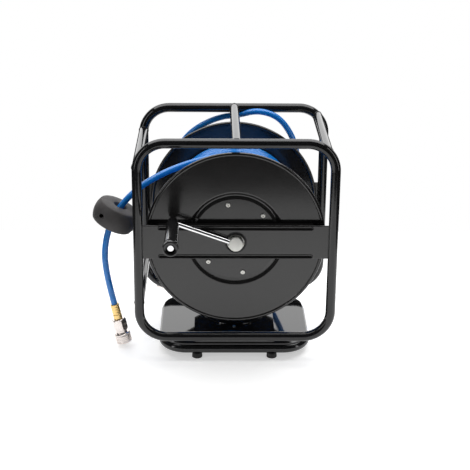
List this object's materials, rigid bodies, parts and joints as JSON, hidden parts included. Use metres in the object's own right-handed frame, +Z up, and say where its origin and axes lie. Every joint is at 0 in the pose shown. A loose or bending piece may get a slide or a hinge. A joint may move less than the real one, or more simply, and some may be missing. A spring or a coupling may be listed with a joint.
{
  "type": "air hose reel",
  "caption": "Hand-cranked compressed-air hose reel: wound hose on a drum in a tubular cage that turns on a low footed base, with stopper ball and quick coupler.",
  "frame": {"origin": "on the floor, under the middle of the reel's bounding box (hoses and what is on them left out); the swivel axis stands 54 mm behind it", "axes": "+Z up; -Y is the front, where the crank is; the hose leaves on the -X side"},
  "size_m": [0.4548, 0.4947, 0.4358],
  "materials": {
    "frame_black": "gloss black powder coat on bent steel tube",
    "plate_black": "high-gloss black enamel on flat sheet",
    "sheet_black": "satin charcoal-black paint on pressed sheet",
    "zinc": "bright zinc plating",
    "black_rubber": "matt black rubber",
    "stopper_rubber": "dull dark grey moulded rubber",
    "blue_hose": "smooth blue air hose, slightly glossy",
    "brass": "turned brass",
    "plated_steel": "nickel-plated turned steel",
    "chrome_arm": "polished chrome",
    "cap_aluminium": "satin light-grey aluminium",
    "bush_plastic": "black nylon",
    "grip_plastic": "smooth black plastic"
  },
  "bodies": {
    "base": {"base_loop": "frame_black", "base_plate": "plate_black", "lower_race": "zinc", "swivel_bolt": "zinc", "bolt_washer": "zinc", "nut_washer": "zinc", "swivel_nut": "zinc", "rubber_feet": "black_rubber", "foot_screws": "zinc", "lower_race_rivets": "zinc"},
    "frame": {"front_loop": "frame_black", "rear_loop": "frame_black", "top_bar_middle": "frame_black", "top_bar_right": "frame_black", "top_bar_left": "frame_black", "side_bar_lower": "frame_black", "bottom_strip": "plate_black", "bottom_ring": "plate_black", "upper_race": "zinc", "race_balls": "zinc", "upper_race_rivets": "zinc", "front_panel": "sheet_black", "rear_panel": "sheet_black", "front_bush": "bush_plastic", "rear_bush": "bush_plastic", "union_body": "brass", "union_elbow": "brass", "union_ferrule": "brass", "inlet_hose": "blue_hose", "inlet_plug_ferrule": "brass", "inlet_plug": "plated_steel", "free_hose": "blue_hose", "stopper_front_half": "stopper_rubber", "stopper_rear_half": "stopper_rubber", "stopper_bolts": "zinc", "hose_ferrule": "brass", "coupler_body": "plated_steel", "coupler_seal": "black_rubber"},
    "drum": {"front_disc": "sheet_black", "rear_disc": "sheet_black", "core_tube": "sheet_black", "core_end_front": "sheet_black", "core_end_rear": "sheet_black", "axle": "zinc", "axle_seal": "black_rubber", "front_disc_screws": "zinc", "rear_disc_screws": "zinc", "core_outlet": "brass", "wound_hose": "blue_hose", "crank_hub": "cap_aluminium", "crank_arm": "chrome_arm", "crank_pin": "chrome_arm", "grip_cap": "chrome_arm"},
    "grip": {"crank_grip": "grip_plastic"},
    "sleeve": {"coupler_sleeve": "plated_steel"}
  },
  "joints": [
    {"name": "swivel", "type": "hinge", "parent": "base", "child": "frame", "pos_m": [0, 0.054, 0.037], "axis": [0, 0, 1], "continuous": true},
    {"name": "drum_spin", "type": "hinge", "parent": "frame", "child": "drum", "pos_m": [0, 0.054, 0.24], "axis": [0, -1, 0], "continuous": true},
    {"name": "grip_spin", "type": "hinge", "parent": "drum", "child": "grip", "pos_m": [-0.11417, -0.146, 0.28155], "axis": [0, -1, 0], "continuous": true},
    {"name": "sleeve_pull", "type": "slide", "parent": "frame", "child": "sleeve", "axis": [-0.2183, 0.0198, 0.9757], "range_m": [0, 0.0045], "stiffness_N_per_m": 600}
  ]
}
